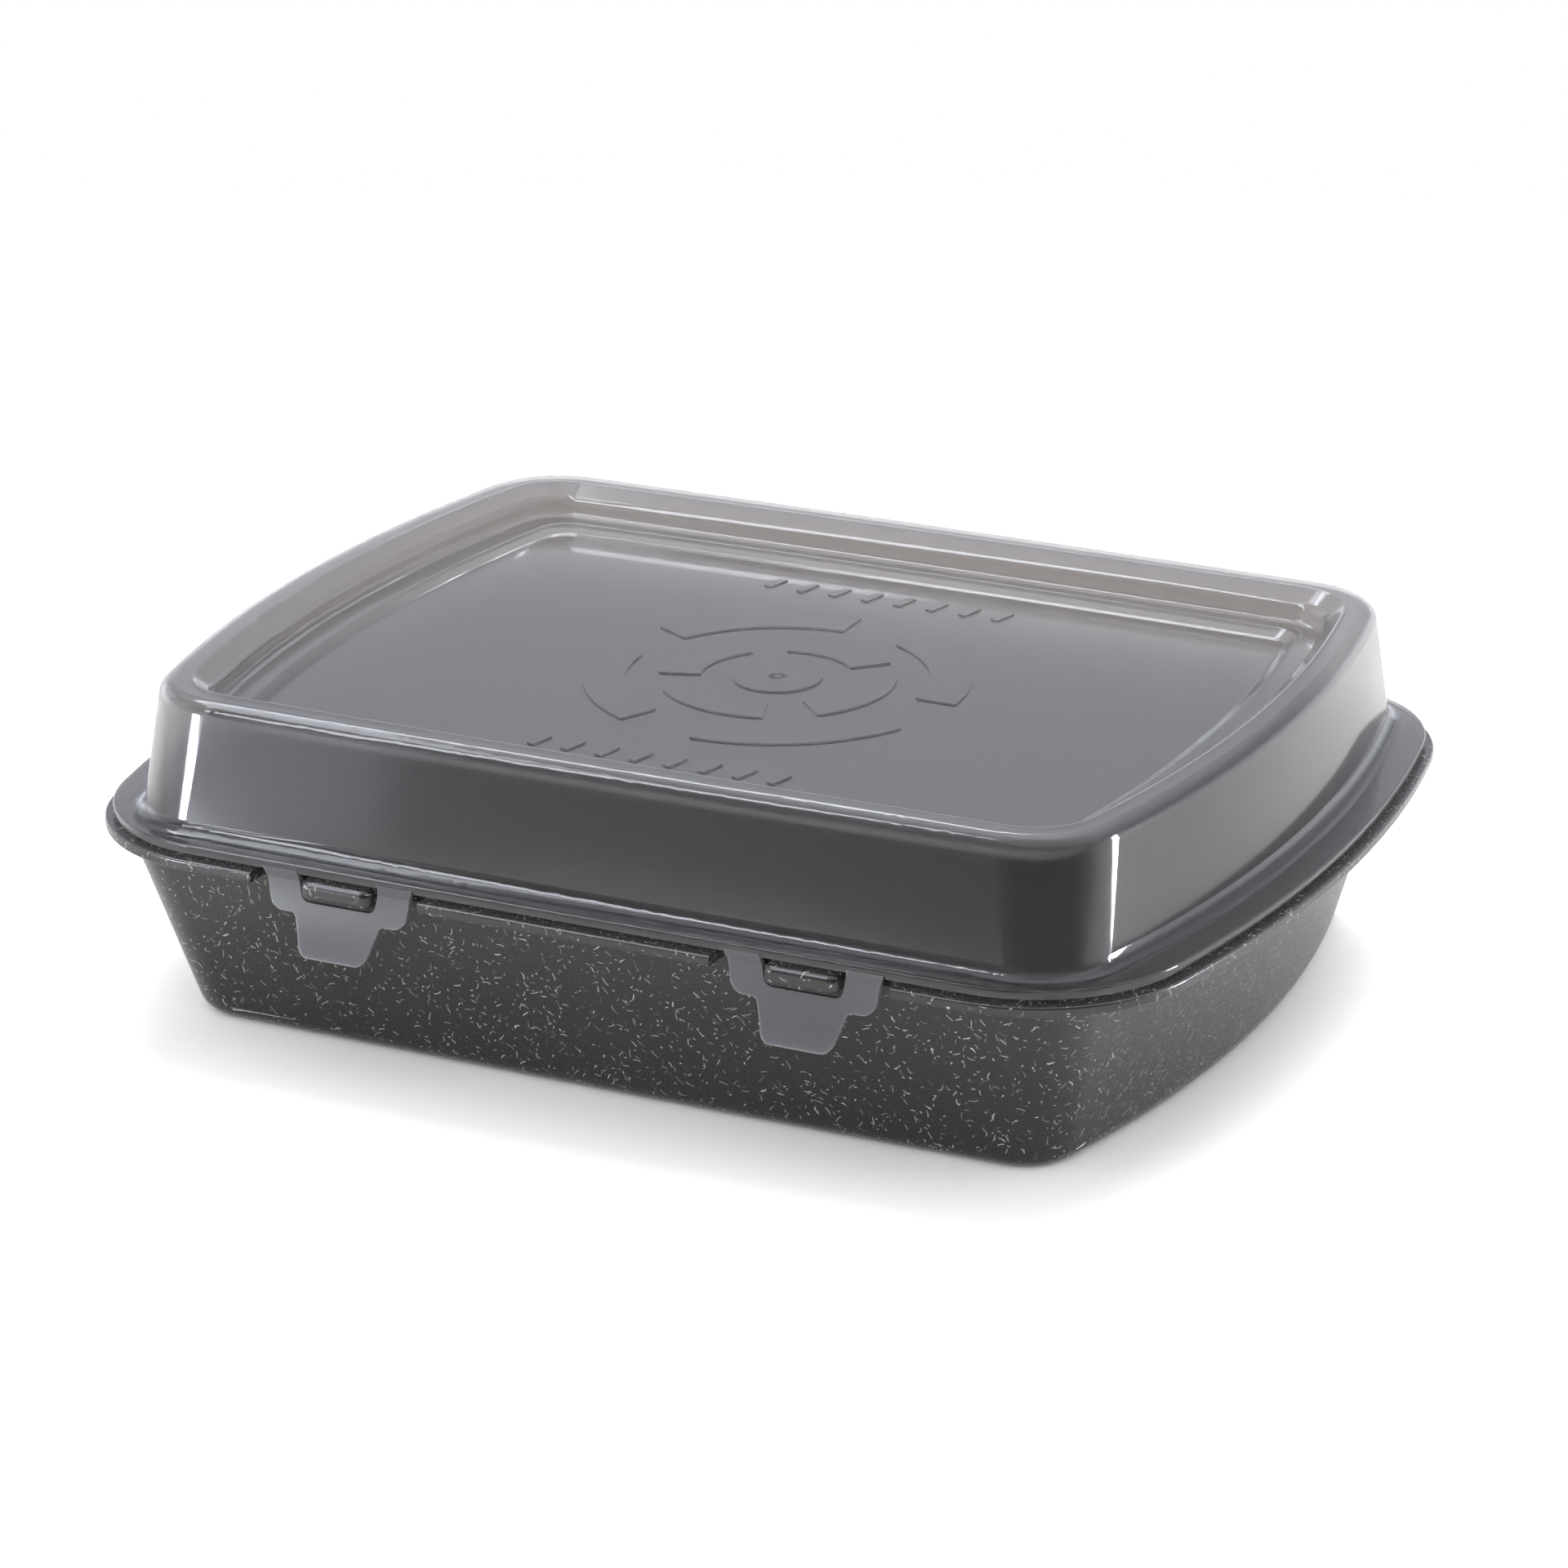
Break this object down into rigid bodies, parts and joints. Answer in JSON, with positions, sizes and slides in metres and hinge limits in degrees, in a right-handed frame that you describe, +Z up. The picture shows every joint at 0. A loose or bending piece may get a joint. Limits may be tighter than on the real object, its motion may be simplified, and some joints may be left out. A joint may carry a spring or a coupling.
{
  "type": "reusable meal container",
  "caption": "Shallow rounded meal container: tapered tray with a flat rim, domed clip-on lid with a sunk top panel, and hinged tabs that clip over lugs on the rim.",
  "frame": {"origin": "middle of the tray's underside, on the surface it stands on", "axes": "+X along the long side, -Y to the front where the lid opens, +Y to the hinge side, +Z up"},
  "size_m": [0.2434, 0.1898, 0.068],
  "materials": {
    "tray": "moulded bio-composite, dark olive charcoal with fine pale fibres, satin",
    "lid": "translucent smoke-grey polypropylene, smooth moulded gloss",
    "latch": "same polypropylene, thinner and frosted, so it looks paler"
  },
  "bodies": {
    "base": {"base_tray": "tray", "latch_rear_left": "latch", "latch_rear_right": "latch"},
    "lid": {"lid": "lid"},
    "front_left_tab": {"latch_front_left": "latch"},
    "front_right_tab": {"latch_front_right": "latch"}
  },
  "joints": [
    {"name": "lid_hinge", "type": "hinge", "parent": "base", "child": "lid", "pos_m": [0, 0.0914, 0.0411], "axis": [-1, 0, 0], "range_deg": [0, 180]},
    {"name": "front_left_tab_hinge", "type": "hinge", "parent": "lid", "child": "front_left_tab", "pos_m": [-0.0495, -0.0914, 0.0411], "axis": [-1, 0, 0], "range_deg": [0, 90]},
    {"name": "front_right_tab_hinge", "type": "hinge", "parent": "lid", "child": "front_right_tab", "pos_m": [0.0495, -0.0914, 0.0411], "axis": [-1, 0, 0], "range_deg": [0, 90]}
  ]
}
